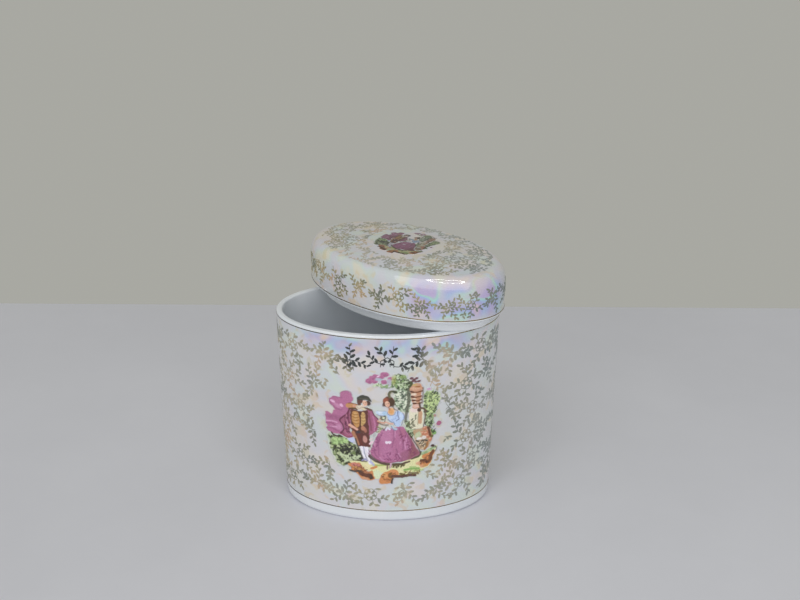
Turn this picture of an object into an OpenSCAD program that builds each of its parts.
// Oval porcelain trinket box with a lift-off lid lying askew on its rim.
// Frame: +Z up, +X to the right, -Y to the front; the origin is the centre of the base.

/* [Box] */
// Width across the rim
body_w = 88; // [70:1:110]
// Depth across the rim, front to back
body_d = 54; // [44:1:66]
// Height from the table to the rim
body_h = 83; // [60:1:110]
// How much narrower the base is than the rim, on each side
body_taper = 2; // [0:0.5:4]
// Thickness of the wall
wall_t = 2.5; // [2:0.1:3.5]
// Thickness of the floor
floor_t = 4; // [3:0.5:6]
// Radius of the rounded edge round the base
base_round = 2; // [1:0.25:3]

/* [Lid] */
// How far the lid's side stands in from the rim's outer edge
lid_inset = 1.2; // [0.5:0.1:1.5]
// Height of the lid's upright side
lid_side_h = 12.5; // [9:0.5:15]
// Radius of the rounded shoulder between the side and the top
shoulder_r = 5.5; // [4:0.5:7]
// Rise of the domed top above the shoulder
dome_h = 1.5; // [1:0.25:2.5]
// Depth of the locating flange below the lid's edge
flange_h = 5.2; // [4:0.2:7]
// How far the flange stands in from the lid's side
flange_inset = 4.8; // [4.4:0.1:6]
// Thickness of the flange
flange_t = 2.4; // [2:0.1:3]

/* [Lid at rest] */
// How far the lid is turned on the rim, seen from above
lid_turn = -35; // [-45:1:-25]
// How far the lid is pushed to the right
lid_right = 6.8; // [4:0.2:8]
// How far the lid is pushed back
lid_back = 5.4; // [4:0.2:7]

/* [Decoration] */
// Width of the painted gilt lines
gilt_line_w = 0.5; // [0.4:0.1:1]
// Thickness of a fired-on layer
layer_t = 0.2; // [0.1:0.05:0.3]
// Diameter of the round picture on the front
picture_d = 52; // [36:1:54]
// How far the front picture is to the right of the middle
picture_x = -2; // [-4:0.5:4]
// Height of the middle of the front picture above the table
picture_z = 43; // [36:1:46]
// Diameter of the small round picture on top of the lid
lid_picture_d = 26; // [18:1:30]
// How far the lid's picture is to the right of the lid's middle
lid_picture_x = -1; // [-3:0.5:3]
// How far the lid's picture is behind the lid's middle
lid_picture_y = 1.5; // [-3:0.5:3]

/* [Hidden] */
$fn = 300;

PORCELAIN = [0.91, 0.91, 0.93];
GILT = [0.72, 0.60, 0.32];
PICTURE = [0.70, 0.42, 0.56];

lip_round = 0.9;
inner_corner = 5;
edge_round = 0.8;
rim_line_drop = 1;
foot_line_z = 4.7;

lid_w = body_w - 2 * lid_inset;
lid_d = body_d - 2 * lid_inset;
lid_t = wall_t;
lid_z = body_h + flange_h;
shoulder_z = lid_side_h + shoulder_r;
shoulder_x = lid_w / 2 - shoulder_r;
dome_r = (shoulder_x ^ 2 + dome_h ^ 2) / (2 * dome_h);

// A disc of radius r about [x, z], which rounds an outline's corner
module disc(x, z, r) {
    translate([x, z]) circle(r);
}

// Turns a half outline into an oval solid, a quarter at a time, with the joins between
// the axes: w is the width of the oval where the outline has its full reach, d the depth there
module oval(w, d) {
    for (turn = [45:90:315])
        scale([1, d / w, 1]) rotate([0, 0, turn]) rotate_extrude(angle = 90) children();
}

// Half width of the wall's outer face at height z, for a wall grown by g
function outer_x(z, g = 0) = body_w / 2 + g - body_taper * (1 - z / body_h);

// The box without its hollow
module body_outside() {
    x0 = outer_x(0);
    x1 = body_w / 2;
    oval(body_w, body_d) {
        polygon([[0, 0], [x0 - base_round, 0], [x0, base_round],
                 [x1, body_h - lip_round], [x1 - lip_round, body_h], [0, body_h]]);
        disc(x0 - base_round, base_round, base_round);
        disc(x1 - lip_round, body_h - lip_round, lip_round);
    }
}

// The hollow of the box, flared at the mouth to round the lip
module body_hollow() {
    x0 = outer_x(0) - wall_t;
    x1 = body_w / 2 - wall_t;
    x2 = x1 + lip_round;
    corner_z = floor_t + inner_corner;
    lip_z = body_h - lip_round;
    oval(body_w - 2 * wall_t, body_d - 2 * wall_t) {
        difference() {
            polygon([[0, floor_t], [x0 - inner_corner, floor_t], [x0, corner_z],
                     [x1, lip_z], [x2, lip_z], [x2, body_h + 1], [0, body_h + 1]]);
            disc(x2, lip_z, lip_round);
        }
        disc(x0 - inner_corner, corner_z, inner_corner);
    }
}

module box_body() {
    color(PORCELAIN) difference() {
        body_outside();
        body_hollow();
    }
}

// A skin of layer_t on the box's outer wall between two heights
module wall_skin(z0, z1) {
    difference() {
        oval(body_w, body_d) polygon([[0, z0], [outer_x(z0, layer_t), z0],
                                      [outer_x(z1, layer_t), z1], [0, z1]]);
        oval(body_w, body_d) polygon([[0, z0 - 1], [outer_x(z0 - 1), z0 - 1],
                                      [outer_x(z1 + 1), z1 + 1], [0, z1 + 1]]);
    }
}

module rim_gilt_line() {
    z1 = body_h - rim_line_drop;
    color(GILT) wall_skin(z1 - gilt_line_w, z1);
}

module foot_gilt_line() {
    color(GILT) wall_skin(foot_line_z, foot_line_z + gilt_line_w);
}

module front_picture() {
    color(PICTURE) intersection() {
        wall_skin(picture_z - picture_d / 2 - 1, picture_z + picture_d / 2 + 1);
        translate([picture_x, 0, picture_z]) rotate([90, 0, 0]) cylinder(d = picture_d, h = body_d);
    }
}

// Puts the lid where it lies: turned and pushed back, its flange standing on the rim
module lid_place() {
    translate([lid_right, lid_back, lid_z]) rotate([0, 0, lid_turn]) children();
}

// The lid above its lower edge, without its hollow
module lid_outside() {
    x1 = lid_w / 2;
    oval(lid_w, lid_d) intersection() {
        union() {
            polygon([[0, 0], [x1 - edge_round, 0], [x1, edge_round], [x1, lid_side_h],
                     [shoulder_x, shoulder_z], [shoulder_x, shoulder_z + dome_h],
                     [0, shoulder_z + dome_h]]);
            disc(x1 - edge_round, edge_round, edge_round);
            disc(shoulder_x, lid_side_h, shoulder_r);
        }
        disc(0, shoulder_z + dome_h - dome_r, dome_r);
    }
}

// The flange that drops into the mouth of the box
module flange() {
    x1 = lid_w / 2 - flange_inset;
    oval(2 * x1, lid_d - 2 * flange_inset)
        polygon([[0, -flange_h], [x1 - edge_round, -flange_h], [x1, edge_round - flange_h],
                 [x1, lid_t], [0, lid_t]]);
}

// The inside of the lid: straight through the flange, then following the lid's own outside
module lid_hollow() {
    inset = flange_inset + flange_t;
    x0 = lid_w / 2 - inset;
    x1 = lid_w / 2 - lid_t;
    top_z = shoulder_z - lid_t;
    oval(2 * x0, lid_d - 2 * inset) translate([0, -flange_h - 1]) square([x0, flange_h + 3 * lid_t]);
    oval(2 * x1, lid_d - 2 * lid_t)
        polygon([[0, lid_t], [x1 - edge_round, lid_t], [x1, lid_t + edge_round],
                 [x1, lid_side_h - lid_t], [x1 - shoulder_r, top_z], [0, top_z]]);
}

module lid() {
    color(PORCELAIN) lid_place() difference() {
        union() {
            lid_outside();
            flange();
        }
        lid_hollow();
    }
}

module lid_gilt_line() {
    color(GILT) lid_place() translate([0, 0, edge_round]) difference() {
        oval(lid_w + 2 * layer_t, lid_d + 2 * layer_t) square([lid_w / 2 + layer_t, gilt_line_w]);
        translate([0, 0, -1]) oval(lid_w, lid_d) square([lid_w / 2, gilt_line_w + 2]);
    }
}

// The domed top raised by up, out as far as the picture reaches
module dome(up) {
    z = shoulder_z + dome_h + up;
    reach = (lid_picture_d / 2 + lid_picture_y + 1) * lid_w / lid_d;
    oval(lid_w, lid_d) intersection() {
        translate([0, z - 3]) square([reach, 4]);
        disc(0, z - dome_r, dome_r);
    }
}

module lid_picture() {
    color(PICTURE) lid_place() intersection() {
        difference() {
            dome(layer_t);
            dome(0);
        }
        translate([lid_picture_x, lid_picture_y, 0]) cylinder(d = lid_picture_d, h = 2 * shoulder_z);
    }
}

box_body();
rim_gilt_line();
foot_gilt_line();
front_picture();
lid();
lid_gilt_line();
lid_picture();
